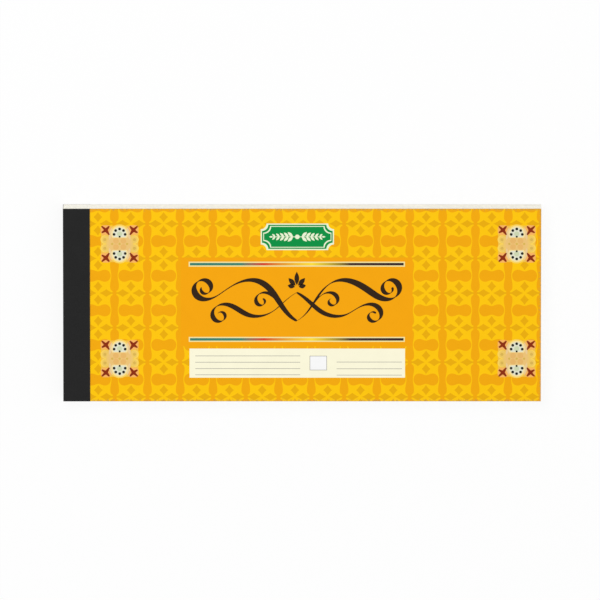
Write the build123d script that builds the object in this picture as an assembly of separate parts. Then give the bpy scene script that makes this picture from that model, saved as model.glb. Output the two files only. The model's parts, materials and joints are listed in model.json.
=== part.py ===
from build123d import *

import os

# A long duplicate receipt book, closed and lying on its back cover.
# The binding is on the left: two wire staples clamp every sheet, and a folded tape hides them.
# X runs along the book from the binding to the free edge, Y up the page and Z up through the stack.
# The origin is under the middle of the book. All sizes are in millimetres.

# Whole book
book_length = 264.0
book_height = 109.0
set_count = 50

# Sheets
leaf_thickness = 0.08
leaf_gap = 0.02
front_cover_thickness = 0.4
back_cover_thickness = 1.0

# Binding tape, folded round the spine
tape_width = 14.9
tape_thickness = 0.25
tape_bend_radius = 0.4
glue_gap = 0.02

# The fold beside the tape, where the cover and every leaf turn
crease_gap = 0.15

# Perforation of the originals
perforation_offset = 6.0
slit_length = 3.4
slit_tie = 1.1
slit_width = 0.4
tear_gap = 0.04

# Loose carbon sheet, under the original of the set below these
sets_above_carbon_count = 2
carbon_thickness = 0.04
carbon_inset = 4.0

# Wire staples through the bound edge
staple_count = 2
staple_spacing = 54.0
staple_inset = 7.0
staple_crown = 12.0
staple_clinch = 4.0
wire_width = 0.6
wire_thickness = 0.4
wire_bend_radius = 0.3
staple_clearance = 0.05

# Sets that are single leaves from the top down, and the sets in each bundle below them
single_set_count = 5
bundle_set_count = 5

# Places along the book
spine_x = -book_length / 2
free_edge_x = book_length / 2
bound_edge_x = spine_x + tape_thickness + glue_gap
fold_x = spine_x + tape_width
margin_edge_x = fold_x - crease_gap / 2
flap_edge_x = fold_x + crease_gap / 2
perforation_x = fold_x + perforation_offset
staple_x = spine_x + staple_inset

# Levels through the stack
leaf_count = 2 * set_count
leaf_pitch = leaf_thickness + leaf_gap
carbon_leaf = 2 * sets_above_carbon_count
carbon_room = carbon_thickness + leaf_gap
back_cover_z = tape_thickness + glue_gap
block_z = back_cover_z + back_cover_thickness + leaf_gap
front_cover_z = block_z + leaf_count * leaf_pitch + carbon_room
front_cover_top_z = front_cover_z + front_cover_thickness
tape_top_z = front_cover_top_z + glue_gap + tape_thickness


def leaf_z(leaf):
    """Underside of a leaf, counted from 0 at the top of the stack."""
    above_carbon = carbon_room if leaf <= carbon_leaf else 0.0
    return block_z + (leaf_count - 1 - leaf) * leaf_pitch + above_carbon


def outline(low_x, high_x, height=book_height):
    """Rectangular outline of a sheet between two places along the book."""
    return Pos((low_x + high_x) / 2, 0) * Rectangle(high_x - low_x, height)


def sheet(profile, z, thickness):
    """Flat sheet of one outline, with its underside at a level."""
    return extrude(Plane.XY.offset(z) * profile, amount=thickness)


def perforation():
    """Row of slits that the receipts tear along, with a tie of paper between each two."""
    pitch = slit_length + slit_tie
    slit_count = int((book_height - slit_tie) / pitch)
    row = GridLocations(0, pitch, 1, slit_count)
    return Pos(perforation_x, 0) * row * Rectangle(slit_width, slit_length)


def staple(centre_y, clearance=0.0):
    """Flat-wire staple, clinched inwards under the back cover. A clearance gives the room that it needs."""
    leg_y = staple_crown / 2
    crown_z = front_cover_top_z - wire_thickness / 2
    clinch_z = back_cover_z + wire_thickness / 2
    tip_y = leg_y - staple_clinch - clearance
    wire = FilletPolyline(
        (tip_y, clinch_z),
        (leg_y, clinch_z),
        (leg_y, crown_z),
        (-leg_y, crown_z),
        (-leg_y, clinch_z),
        (-tip_y, clinch_z),
        radius=wire_bend_radius,
    )
    profile = Plane.YZ * trace(wire, line_width=wire_thickness + 2 * clearance)
    return Pos(staple_x, centre_y) * extrude(profile, amount=wire_width / 2 + clearance, both=True)


def staples(clearance=0.0):
    """All the staples, evenly spaced along the spine."""
    first_y = -staple_spacing * (staple_count - 1) / 2
    return [staple(first_y + number * staple_spacing, clearance) for number in range(staple_count)]


def pierced(pieces):
    """Bound sheets with the holes and grooves that the staples press into them."""
    room = staples(staple_clearance)
    return [piece - room for piece in pieces]


def spine_tape():
    """Tape glued over the bound edge: a front flange, the spine and a back flange."""
    middle_z = tape_top_z / 2
    wall = Pos((spine_x + fold_x) / 2, middle_z) * Rectangle(tape_width, tape_top_z)
    folds = wall.vertices().group_by(Axis.X)[0]
    wall = fillet(folds, tape_bend_radius)
    inside = Pos(fold_x, middle_z) * Rectangle(
        2 * (tape_width - tape_thickness), tape_top_z - 2 * tape_thickness
    )
    return extrude(Plane.XZ * (wall - inside), amount=book_height / 2, both=True)


def margin(leaf):
    """Bound edge of a leaf, held by the staples under the tape."""
    return sheet(outline(bound_edge_x, margin_edge_x), leaf_z(leaf), leaf_thickness)


def original(leaf):
    """Turning part of an original, whole, with its perforation."""
    profile = outline(flap_edge_x, free_edge_x) - perforation()
    return sheet(profile, leaf_z(leaf), leaf_thickness)


def original_stub(leaf):
    """Strip of an original that stays in the book when its receipt is torn off."""
    profile = outline(flap_edge_x, perforation_x - tear_gap / 2) - perforation()
    return sheet(profile, leaf_z(leaf), leaf_thickness)


def original_receipt(leaf):
    """Receipt of an original, which tears off along the perforation."""
    profile = outline(perforation_x + tear_gap / 2, free_edge_x) - perforation()
    return sheet(profile, leaf_z(leaf), leaf_thickness)


def plain_leaf(leaf):
    """Turning part of a duplicate, or of an original deep in the stack."""
    return sheet(outline(flap_edge_x, free_edge_x), leaf_z(leaf), leaf_thickness)


def carbon_sheet():
    """Loose carbon sheet, a little smaller than the receipt that it lies under."""
    profile = outline(
        perforation_x + carbon_inset, free_edge_x - carbon_inset, book_height - 2 * carbon_inset
    )
    return sheet(profile, leaf_z(carbon_leaf) - leaf_gap - carbon_thickness, carbon_thickness)


def covers():
    """Front cover, its bound edge and the back cover, by node."""
    bound_edge = sheet(outline(bound_edge_x, margin_edge_x), front_cover_z, front_cover_thickness)
    back = sheet(outline(bound_edge_x, free_edge_x), back_cover_z, back_cover_thickness)
    return {
        "front_cover": [sheet(outline(flap_edge_x, free_edge_x), front_cover_z, front_cover_thickness)],
        "front_cover_margin": pierced([bound_edge]),
        "back_cover": pierced([back]),
    }


def single_leaves():
    """Leaves that turn one by one, by node. Above the carbon, the receipt is apart from its stub."""
    nodes = {}
    for number in range(1, single_set_count + 1):
        top = 2 * (number - 1)
        if top == carbon_leaf:
            nodes[f"original_{number:02d}_stub"] = [original_stub(top)]
            nodes[f"original_{number:02d}_receipt"] = [original_receipt(top)]
        else:
            nodes[f"original_{number:02d}"] = [original(top)]
        nodes[f"duplicate_{number:02d}"] = [plain_leaf(top + 1)]
    return nodes


def bundled_leaves():
    """The leaves further down, which turn a few sets at a time, by node."""
    nodes = {}
    for first in range(single_set_count + 1, set_count + 1, bundle_set_count):
        last = min(first + bundle_set_count - 1, set_count)
        tops = [2 * (number - 1) for number in range(first, last + 1)]
        nodes[f"originals_{first:02d}_to_{last:02d}"] = [plain_leaf(top) for top in tops]
        nodes[f"duplicates_{first:02d}_to_{last:02d}"] = [plain_leaf(top + 1) for top in tops]
    return nodes


def bound_margins():
    """Bound edges of all the leaves, by node."""
    return {
        "original_margins": pierced([margin(leaf) for leaf in range(0, leaf_count, 2)]),
        "duplicate_margins": pierced([margin(leaf) for leaf in range(1, leaf_count, 2)]),
    }


def all_nodes():
    """Every piece of the book, as a list of solids for each node."""
    return {
        **covers(),
        "spine_tape": [spine_tape()],
        "binding_staples": staples(),
        **bound_margins(),
        "carbon_sheet": [carbon_sheet()],
        **single_leaves(),
        **bundled_leaves(),
    }


def main():
    os.makedirs("parts", exist_ok=True)
    for node, pieces in all_nodes().items():
        solids = [solid for piece in pieces for solid in piece.solids()]
        shape = solids[0] if len(solids) == 1 else Compound(solids)
        export_step(shape, f"parts/{node}.step")


if __name__ == "__main__":
    main()
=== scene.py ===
import json
import logging
import math
import random
from dataclasses import dataclass, field
from enum import Enum
from functools import reduce
from typing import Iterable, Sequence

import bpy
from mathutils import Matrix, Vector


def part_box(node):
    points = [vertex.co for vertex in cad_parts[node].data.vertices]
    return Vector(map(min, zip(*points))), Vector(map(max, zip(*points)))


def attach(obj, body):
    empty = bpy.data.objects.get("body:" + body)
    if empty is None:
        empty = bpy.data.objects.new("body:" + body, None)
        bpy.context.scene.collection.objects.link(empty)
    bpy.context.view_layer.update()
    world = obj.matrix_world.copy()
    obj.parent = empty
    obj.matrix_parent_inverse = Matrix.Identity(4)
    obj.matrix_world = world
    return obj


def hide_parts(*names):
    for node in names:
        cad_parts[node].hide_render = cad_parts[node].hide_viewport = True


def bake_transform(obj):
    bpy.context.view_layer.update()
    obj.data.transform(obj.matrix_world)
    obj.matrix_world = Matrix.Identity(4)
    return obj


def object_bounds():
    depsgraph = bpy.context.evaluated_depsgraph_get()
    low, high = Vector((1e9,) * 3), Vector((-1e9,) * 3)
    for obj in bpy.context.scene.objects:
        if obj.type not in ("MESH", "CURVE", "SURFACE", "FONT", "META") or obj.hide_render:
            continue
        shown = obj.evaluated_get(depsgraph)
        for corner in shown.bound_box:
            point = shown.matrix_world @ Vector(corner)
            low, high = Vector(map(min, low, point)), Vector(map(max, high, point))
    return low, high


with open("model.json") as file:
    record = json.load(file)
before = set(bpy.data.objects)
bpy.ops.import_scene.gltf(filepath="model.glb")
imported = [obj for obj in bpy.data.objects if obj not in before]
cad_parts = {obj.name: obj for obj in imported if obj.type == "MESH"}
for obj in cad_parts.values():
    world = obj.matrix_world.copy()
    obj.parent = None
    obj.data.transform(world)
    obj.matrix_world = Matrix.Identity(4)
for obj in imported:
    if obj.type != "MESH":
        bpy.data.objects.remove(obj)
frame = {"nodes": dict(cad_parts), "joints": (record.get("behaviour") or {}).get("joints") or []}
CAD_LOW, CAD_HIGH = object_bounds()

# A long duplicate receipt book with a taped spine, a printed card cover and perforated leaves.
# X runs from the spine to the free edge, Y up the page, Z up the stack.
# Pieces are in metres. Prints, and the places that finishes read, are in millimetres.

LOG = logging.getLogger("receipt_book")
MM = 0.001
MAP_NAME = "rest_place"
SIDES = (1, -1)
QUARTERS = ((1, 1), (1, -1), (-1, 1), (-1, -1))
NOISE_MIDDLE = 0.5
STREAKS_PER_MM = (0.03, 0.9, 1.0)
WHITE_LIGHT = (1.0, 1.0, 1.0, 1.0)
Colour = tuple[float, float, float, float]
Point = tuple[float, float]
Polygon = list[Point]
Layers = list[tuple["Finish", list[Polygon]]]
Inputs = dict[str | int, object]


def screen_colour(*screen: int) -> Colour:
    """Linear colour of a colour given in screen values.

    Args:
        screen: Red, green and blue from 0 to 255.

    Returns:
        The linear colour, with an alpha of 1.
    """
    # The numbers are those of the usual screen curve
    shares = (value / 255 for value in screen)
    red, green, blue = (s / 12.92 if s <= 0.04045 else ((s + 0.055) / 1.055) ** 2.4 for s in shares)
    return red, green, blue, 1.0


def inset(low: Point, high: Point, by: float) -> tuple[Point, Point]:
    """Both corners of a rectangle, moved inwards."""
    return (low[0] + by, low[1] + by), (high[0] - by, high[1] - by)


class Flow:
    """One output of a shader node: a number, vector, colour or shader that changes over a surface."""

    def __init__(self, graph: "Graph", socket: bpy.types.NodeSocket) -> None:
        """Keep the graph and the output socket."""
        self.graph = graph
        self.socket = socket

    def math(self, operation: str, *others: "Flow | float") -> "Flow":
        """Result of a Math node on this number and further ones."""
        return self.graph.flow("ShaderNodeMath", dict(enumerate((self, *others))), operation=operation)

    def __add__(self, other: "Flow | float") -> "Flow":
        """Sum."""
        return self.math("ADD", other)

    def __sub__(self, other: "Flow | float") -> "Flow":
        """Difference."""
        return self.math("SUBTRACT", other)

    def __mul__(self, other: "Flow | float") -> "Flow":
        """Product."""
        return self.math("MULTIPLY", other)

    def __truediv__(self, other: "Flow | float") -> "Flow":
        """Quotient."""
        return self.math("DIVIDE", other)

    def __abs__(self) -> "Flow":
        """Size without its sign."""
        return self.math("ABSOLUTE")

    def below(self, limit: "Flow | float") -> "Flow":
        """1 where this is less than a limit, else 0."""
        return self.math("LESS_THAN", limit)

    def above(self, limit: "Flow | float") -> "Flow":
        """1 where this is more than a limit, else 0."""
        return self.math("GREATER_THAN", limit)

    def either(self, other: "Flow | float") -> "Flow":
        """The larger of two numbers, which joins two masks."""
        return self.math("MAXIMUM", other)

    def least(self, other: "Flow | float") -> "Flow":
        """The smaller of two numbers."""
        return self.math("MINIMUM", other)

    def wrapped(self, period: float) -> "Flow":
        """This number repeated about 0 with a period."""
        return self.math("WRAP", period / 2, -period / 2)

    def within(self, low: float, high: float) -> "Flow":
        """1 between two limits, else 0."""
        return self.above(low) * self.below(high)


Flows = dict[str, Flow]


class Graph:
    """Adds and links the nodes of one shader tree."""

    # Numbers of the Mix node's sockets when it mixes colours
    MIX_SHARE, MIX_BELOW, MIX_ABOVE, MIX_RESULT = 0, 6, 7, 2

    def __init__(self, tree: bpy.types.NodeTree) -> None:
        """Keep the tree that the nodes go into."""
        self.tree = tree

    def node(self, kind: str, inputs: Inputs | None = None, **settings: object) -> bpy.types.Node:
        """A new node with its settings and inputs.

        Args:
            kind: Blender's name of the node type.
            inputs: A flow or a plain value for each input, by its name or number.
            settings: Properties of the node.

        Returns:
            The node.
        """
        made = self.tree.nodes.new(kind)
        for name, value in settings.items():
            setattr(made, name, value)
        for name, value in (inputs or {}).items():
            if isinstance(value, Flow):
                self.tree.links.new(value.socket, made.inputs[name])
            else:
                made.inputs[name].default_value = value
        return made

    def flow(
        self, kind: str, inputs: Inputs | None = None, output: str | int = 0, **settings: object
    ) -> Flow:
        """One output of a new node."""
        return Flow(self, self.node(kind, inputs, **settings).outputs[output])

    def flows(self, kind: str, inputs: Inputs | None = None, **settings: object) -> Flows:
        """All the outputs of a new node by name."""
        made = self.node(kind, inputs, **settings)
        return {socket.name: Flow(self, socket) for socket in made.outputs}

    def split(self, vector: Flow) -> tuple[Flow, Flow, Flow]:
        """The three numbers of a vector."""
        made = self.flows("ShaderNodeSeparateXYZ", {"Vector": vector})
        return made["X"], made["Y"], made["Z"]

    def scaled(self, vector: "Flow | Colour", factor: "Flow | float") -> Flow:
        """A place or a colour times a number."""
        start = vector if isinstance(vector, Flow) else vector[:3]
        return self.flow("ShaderNodeVectorMath", {0: start, "Scale": factor}, operation="SCALE")

    def noise(self, place: Flow, scale: "Flow | float", detail: float) -> Flow:
        """Cloudy noise from 0 to 1, with so many lumps to a millimetre and so many finer octaves."""
        return self.flow("ShaderNodeTexNoise", {"Vector": place, "Scale": scale, "Detail": detail})

    def mixed(self, mask: Flow, below: "Flow | Colour", above: "Flow | Colour") -> Flow:
        """One colour laid over another where a mask is 1."""
        inputs = {self.MIX_SHARE: mask, self.MIX_BELOW: below, self.MIX_ABOVE: above}
        return self.flow("ShaderNodeMix", inputs, self.MIX_RESULT, data_type="RGBA")

    def bump(self, height: Flow, depth: float) -> Flow:
        """Normal of a surface with fine relief, whose depth is in metres."""
        return self.flow("ShaderNodeBump", {"Height": height, "Strength": 1.0, "Distance": depth})

    def blended(self, share: Flow, first: Flow, second: Flow) -> Flow:
        """Two shaders mixed, with a share of the second."""
        return self.flow("ShaderNodeMixShader", {0: share, 1: first, 2: second})


class Place(Enum):
    """Where a finish reads the place of a point at rest."""

    SHEET_MAP = "map"
    OBJECT = "object"
    EDGES = "edges"

    def read(self, graph: Graph) -> Flow:
        """Place of a point in millimetres.

        Args:
            graph: Graph of the material.

        Returns:
            The place as a vector.
        """
        if self is Place.SHEET_MAP:
            place = graph.flow("ShaderNodeUVMap", uv_map=MAP_NAME)
        else:
            place = graph.flow("ShaderNodeTexCoord", output="Object")
        if self is Place.EDGES:
            x, y, z = graph.split(place)
            place = graph.flow("ShaderNodeCombineXYZ", {"X": x + y, "Y": z})
        return graph.scaled(place, 1 / MM)


@dataclass(frozen=True)
class Effect:
    """A node group that finishes share."""

    name: str
    vectors: tuple[str, ...] = ("Place",)
    numbers: tuple[str, ...] = ()

    def fill(self, graph: Graph, inputs: Flows) -> Flows:
        """Add the group's nodes and give its outputs, which are numbers. Each effect has its own."""
        raise NotImplementedError

    def placed(self, graph: Graph, **values: object) -> Flows:
        """The outputs of this effect in a graph, with a value or a flow for each input."""
        return graph.flows("ShaderNodeGroup", values, node_tree=self._tree())

    def _tree(self) -> bpy.types.NodeTree:
        """The node group, built the first time that it is asked for.

        Returns:
            The group's tree.
        """
        found = bpy.data.node_groups.get(self.name)
        if found:
            return found
        tree = bpy.data.node_groups.new(self.name, "ShaderNodeTree")
        for title in self.vectors:
            tree.interface.new_socket(title, in_out="INPUT", socket_type="NodeSocketVector")
        for title in self.numbers:
            tree.interface.new_socket(title, in_out="INPUT", socket_type="NodeSocketFloat")
        graph = Graph(tree)
        outputs = self.fill(graph, graph.flows("NodeGroupInput"))
        for title in outputs:
            tree.interface.new_socket(title, in_out="OUTPUT", socket_type="NodeSocketFloat")
        graph.node("NodeGroupOutput", outputs)
        return tree


@dataclass(frozen=True)
class PaperFibre(Effect):
    """Cloudy tone and fibre relief of paper and board."""

    name: str = "paper_fibre"
    numbers: tuple[str, ...] = ("Fineness", "Contrast")
    fibre_detail: float = 4.0
    cloud_share: float = 0.12
    cloud_detail: float = 2.0

    def fill(self, graph: Graph, inputs: Flows) -> Flows:
        """Fine fibres over a slow cloudiness.

        Args:
            graph: Graph of the group.
            inputs: Place, lumps to a millimetre and contrast.

        Returns:
            A tone about 1 and the height of the relief.
        """
        fineness = inputs["Fineness"]
        fibres = graph.noise(inputs["Place"], fineness, self.fibre_detail)
        clouds = graph.noise(inputs["Place"], fineness * self.cloud_share, self.cloud_detail)
        drift = (fibres - NOISE_MIDDLE) + (clouds - NOISE_MIDDLE)
        return {"Tone": drift * inputs["Contrast"] + 1.0, "Height": fibres}


@dataclass(frozen=True)
class InkMottle(Effect):
    """Slight unevenness of a printed ink film."""

    name: str = "ink_mottle"
    numbers: tuple[str, ...] = ("Amount",)
    fine_per_mm: float = 5.0
    broad_per_mm: float = 0.12
    detail: float = 2.0
    rough_share: float = 0.12

    def fill(self, graph: Graph, inputs: Flows) -> Flows:
        """Two sizes of noise.

        Args:
            graph: Graph of the group.
            inputs: Place and amount.

        Returns:
            A tone about 1 and a change of roughness about 0.
        """
        fine = graph.noise(inputs["Place"], self.fine_per_mm, self.detail) - NOISE_MIDDLE
        broad = graph.noise(inputs["Place"], self.broad_per_mm, self.detail) - NOISE_MIDDLE
        return {"Tone": (fine + broad) * inputs["Amount"] + 1.0, "Rough": fine * self.rough_share}


@dataclass(frozen=True)
class EdgeWearAndShadeMask(Effect):
    """Uneven band along the four edges of a sheet: wear on the tape and the board, and painted edge shade
    on the cover print.
    """

    name: str = "edge_rub"
    vectors: tuple[str, ...] = ("Place", "Low", "High")
    numbers: tuple[str, ...] = ("Width",)
    lumps_per_mm: float = 0.9
    lump_detail: float = 4.0
    lump_gain: float = 2.6
    lump_loss: float = 0.75

    def fill(self, graph: Graph, inputs: Flows) -> Flows:
        """Distance to the nearest edge against a noisy width.

        Args:
            graph: Graph of the group.
            inputs: Place, both corners of the sheet and width of the rub.

        Returns:
            inputs: Place, both corners of the sheet and width of the band.
        """
        x, y, _ = graph.split(inputs["Place"])
        low_x, low_y, _ = graph.split(inputs["Low"])
        high_x, high_y, _ = graph.split(inputs["High"])
        nearest = (x - low_x).least(high_x - x).least((y - low_y).least(high_y - y))
        lumps = graph.noise(inputs["Place"], self.lumps_per_mm, self.lump_detail)
        reach = inputs["Width"] * (lumps * self.lump_gain - self.lump_loss)
        return {"Mask": ((reach - nearest) / inputs["Width"]).either(0.0).least(1.0)}


@dataclass(frozen=True)
class DrawnStreaks(Effect):
    """Uneven streaks, drawn out along one direction."""

    name: str = "drawn_streaks"
    vectors: tuple[str, ...] = ("Place", "Stretch")
    detail: float = 4.0

    def fill(self, graph: Graph, inputs: Flows) -> Flows:
        """Noise at a stretched place, from 0 to 1.

        Args:
            graph: Graph of the group.
            inputs: Place and streaks to a millimetre along each axis.

        Returns:
            The streaks.
        """
        factors = {0: inputs["Place"], 1: inputs["Stretch"]}
        stretched = graph.flow("ShaderNodeVectorMath", factors, operation="MULTIPLY")
        return {"Streak": graph.noise(stretched, 1.0, self.detail)}


def boxed(x: Flow, y: Flow, low: Point, high: Point) -> Flow:
    """Mask of a rectangle between two corners."""
    return x.within(low[0], high[0]) * y.within(low[1], high[1])


def framed(x: Flow, y: Flow, low: Point, high: Point, line: float) -> Flow:
    """Mask of a rectangle's outline, drawn inside it with a line of one width."""
    return boxed(x, y, low, high) - boxed(x, y, *inset(low, high, line))


@dataclass(frozen=True)
class ReceiptForm(Effect):
    """Rules and boxes of a blank receipt, the same on originals and duplicates."""

    name: str = "receipt_form"
    frame_low: Point = (-104.0, -47.0)
    frame_high: Point = (126.0, 47.0)
    frame_line: float = 0.6
    inner_inset: float = 1.4
    fine_line: float = 0.25
    heading_low: Point = (-44.0, 30.0)
    heading_high: Point = (66.0, 42.0)
    number_low: Point = (-98.0, 31.5)
    number_high: Point = (-60.0, 41.0)
    dotted_rules: tuple[Point, ...] = (
        (-64.0, 18.0),
        (-76.0, 7.0),
        (-88.0, -4.0),
        (-98.0, -15.0),
        (84.0, 33.0),
    )
    signature_rule: Point = (66.0, -38.0)
    rule_end: float = 120.0
    rule_line: float = 0.3
    dot_pitch: float = 1.1
    dot_share: float = 0.28
    amount_low: Point = (-98.0, -42.0)
    amount_high: Point = (-48.0, -29.0)
    currency_high: Point = (-84.0, -29.0)

    def fill(self, graph: Graph, inputs: Flows) -> Flows:
        """Frames and rules in full ink, and screened panels behind the heading and the currency.

        Args:
            graph: Graph of the group.
            inputs: Place on the page.

        Returns:
            Masks of the full ink and of the tint.
        """
        x, y, _ = graph.split(inputs["Place"])
        outlines = (
            (self.frame_low, self.frame_high, self.frame_line),
            (*inset(self.frame_low, self.frame_high, self.inner_inset), self.fine_line),
            (self.number_low, self.number_high, self.fine_line),
            (self.amount_low, self.amount_high, self.frame_line),
            (self.amount_low, self.currency_high, self.fine_line),
        )
        masks = [framed(x, y, *outline) for outline in outlines]
        dots = abs(x.wrapped(self.dot_pitch)).below(self.dot_pitch * self.dot_share)
        masks += [self._rule(x, y, start) * dots for start in self.dotted_rules]
        masks.append(self._rule(x, y, self.signature_rule))
        heading = boxed(x, y, self.heading_low, self.heading_high)
        tint = heading.either(boxed(x, y, self.amount_low, self.currency_high))
        return {"Ink": reduce(Flow.either, masks), "Tint": tint}

    def _rule(self, x: Flow, y: Flow, start: Point) -> Flow:
        """Mask of one rule from its lower left corner to the right-hand end of the form."""
        return boxed(x, y, start, (self.rule_end, start[1] + self.rule_line))


@dataclass(frozen=True)
class WearAndShadeBand:
    """A band along the edges of a sheet, which is wear on the tape and the board and painted edge shade on
    the cover print: where they are, how wide it is and how it looks.
    """

    low: Point
    high: Point
    width: float
    colour: Colour
    strength: float = 1.0

    @classmethod
    def along(cls, node: str, width: float, colour: Colour, strength: float) -> "WearAndShadeBand":
        """Wear along the edges of a CAD node."""
        low, high = (tuple(corner.xy / MM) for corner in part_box(node))
        return cls(low, high, width, colour, strength)

    def mask(self, graph: Graph, place: Flow) -> Flow:
        """How much of the band each place takes: wear on the tape and the board, painted edge shade on the
        cover print.
        """
        corners = {"Low": (*self.low, 0.0), "High": (*self.high, 0.0)}
        return EdgeWearAndShadeMask().placed(graph, Place=place, Width=self.width, **corners)["Mask"] * self.strength


@dataclass(frozen=True)
class Finish:
    """A material: its name, how rough and reflective it is, its colour and where it reads places."""

    name: str
    roughness: float = 0.8
    specular: float = 0.3
    colour: Colour = (0.8, 0.8, 0.8, 1.0)
    source: Place = Place.OBJECT

    def material(self) -> bpy.types.Material:
        """The material, built the first time that it is asked for.

        Returns:
            The material.
        """
        found = bpy.data.materials.get(self.name)
        if found:
            return found
        made = bpy.data.materials.new(self.name)
        made.use_nodes = True
        made.node_tree.nodes.clear()
        graph = Graph(made.node_tree)
        inputs = {"Roughness": self.roughness, "Specular IOR Level": self.specular}
        inputs |= self.paint(graph, self.source.read(graph))
        shader = graph.flow("ShaderNodeBsdfPrincipled", inputs)
        graph.node("ShaderNodeOutputMaterial", {"Surface": self.surface(graph, shader)})
        return made

    def surface(self, graph: Graph, shader: Flow) -> Flow:
        """What the material's output shows."""
        return shader

    def paint(self, graph: Graph, place: Flow) -> Inputs:
        """The shader's inputs that change over the surface. Each finish has its own."""
        raise NotImplementedError


@dataclass(frozen=True)
class PaperFinish(Finish):
    """Uncoated paper or board."""

    roughness: float = 0.85
    specular: float = 0.2
    fibres_per_mm: float = 4.0
    contrast: float = 0.06
    relief: float = 0.01 * MM

    def paint(self, graph: Graph, place: Flow) -> Inputs:
        """Fibre tone and relief, under whatever lies on the paper.

        Args:
            graph: Graph of the material.
            place: Place of a point at rest.

        Returns:
            Colour and normal.
        """
        values = {"Place": place, "Fineness": self.fibres_per_mm, "Contrast": self.contrast}
        fibre = PaperFibre().placed(graph, **values)
        paper = graph.scaled(self.colour, fibre["Tone"])
        normal = graph.bump(fibre["Height"], self.relief)
        return {"Base Color": self.marked(graph, place, paper), "Normal": normal}

    def marked(self, graph: Graph, place: Flow, paper: Flow) -> Flow:
        """The paper's colour with what lies on it, which is nothing on plain paper."""
        return paper


@dataclass(frozen=True)
class EdgeFinish(Finish):
    """Cut edges of stacked leaves, which show as fine streaks along the sheets."""

    roughness: float = 0.9
    specular: float = 0.1
    source: Place = Place.SHEET_MAP
    contrast: float = 0.5

    def paint(self, graph: Graph, place: Flow) -> Inputs:
        """Streaks about the paper's own tone.

        Args:
            graph: Graph of the material.
            place: Place along the edge and up.

        Returns:
            Colour.
        """
        streaks = DrawnStreaks().placed(graph, Place=place, Stretch=STREAKS_PER_MM)
        tone = (streaks["Streak"] - NOISE_MIDDLE) * self.contrast + 1.0
        return {"Base Color": graph.scaled(self.colour, tone)}


@dataclass(frozen=True)
class FormFinish(PaperFinish):
    """Paper with the receipt form printed on it."""

    source: Place = Place.SHEET_MAP
    ink: Colour = (0.02, 0.03, 0.15, 1.0)
    ink_strength: float = 0.85
    tint_strength: float = 0.16
    mottle: float = 0.3

    def marked(self, graph: Graph, place: Flow, paper: Flow) -> Flow:
        """The form in uneven ink.

        Args:
            graph: Graph of the material.
            place: Place on the page.
            paper: Colour of the paper.

        Returns:
            Colour of the printed paper.
        """
        form = ReceiptForm().placed(graph, Place=place)
        film = InkMottle().placed(graph, Place=place, Amount=self.mottle)
        print_mask = (form["Tint"] * self.tint_strength).either(form["Ink"] * self.ink_strength)
        return graph.mixed(print_mask * film["Tone"], paper, self.ink)


@dataclass(frozen=True)
class BoardFinish(PaperFinish):
    """Thick pale board with dark flecks and rubbed edges."""

    roughness: float = 0.9
    fibres_per_mm: float = 2.2
    contrast: float = 0.16
    relief: float = 0.03 * MM
    flecks_per_mm: float = 1.6
    fleck_detail: float = 2.0
    fleck_limit: float = 0.68
    fleck_strength: float = 0.35
    wear_and_shade: WearAndShadeBand = field(kw_only=True)

    def marked(self, graph: Graph, place: Flow, paper: Flow) -> Flow:
        """Flecks, and edges darkened by handling.

        Args:
            graph: Graph of the material.
            place: Place on the board.
            paper: Colour of the clean board.

        Returns:
            Colour of the handled board.
        """
        flecks = graph.noise(place, self.flecks_per_mm, self.fleck_detail).above(self.fleck_limit)
        dirt = (flecks * self.fleck_strength).either(self.wear_and_shade.mask(graph, place))
        return graph.mixed(dirt, paper, self.wear_and_shade.colour)


@dataclass(frozen=True)
class TapeFinish(Finish):
    """Black binding tape with a pressed leather grain and a grey paper core at its cut edges."""

    roughness: float = 0.55
    specular: float = 0.12
    core: Colour = (0.3, 0.29, 0.28, 1.0)
    cut_limit: float = 0.9
    mottle: float = 0.25
    grains_per_mm: float = 1.5
    grain_roughness: float = 0.25
    relief: float = 0.035 * MM
    wear_and_shade: WearAndShadeBand = field(kw_only=True)

    def paint(self, graph: Graph, place: Flow) -> Inputs:
        """Grain cells, with a grey rub along the edges and the core on the faces that are cut.

        Args:
            graph: Graph of the material.
            place: Place on the tape.

        Returns:
            Colour, roughness and normal.
        """
        cells = {"Vector": place, "Scale": self.grains_per_mm}
        grain = graph.flow("ShaderNodeTexVoronoi", cells, "Distance", feature="SMOOTH_F1")
        film = InkMottle().placed(graph, Place=place, Amount=self.mottle)
        black = graph.scaled(self.colour, film["Tone"])
        worn_and_shaded = graph.mixed(self.wear_and_shade.mask(graph, place), black, self.wear_and_shade.colour)
        along, up, _ = graph.split(graph.flow("ShaderNodeTexCoord", output="Normal"))
        cut = along.either(abs(up)).above(self.cut_limit)
        return {
            "Base Color": graph.mixed(cut, worn_and_shaded, self.core),
            "Roughness": grain * self.grain_roughness + self.roughness,
            "Normal": graph.bump(grain, self.relief),
        }


@dataclass(frozen=True)
class CarbonFinish(Finish):
    """Carbon sheet with a waxy, faintly streaked coat."""

    roughness: float = 0.42
    specular: float = 0.25
    colour: Colour = (0.012, 0.014, 0.035, 1.0)
    streak: Colour = (0.03, 0.035, 0.09, 1.0)
    crumples_per_mm: float = 0.15
    crumple_detail: float = 3.0
    crumple_roughness: float = 0.3
    crumple_depth: float = 0.15 * MM

    def paint(self, graph: Graph, place: Flow) -> Inputs:
        """Streaks along the sheet and a soft crumple.

        Args:
            graph: Graph of the material.
            place: Place on the sheet.

        Returns:
            Colour, roughness and normal.
        """
        coat = DrawnStreaks().placed(graph, Place=place, Stretch=STREAKS_PER_MM)
        crumple = graph.noise(place, self.crumples_per_mm, self.crumple_detail)
        return {
            "Base Color": graph.mixed(coat["Streak"], self.colour, self.streak),
            "Roughness": crumple * self.crumple_roughness + self.roughness,
            "Normal": graph.bump(crumple, self.crumple_depth),
        }


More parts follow.
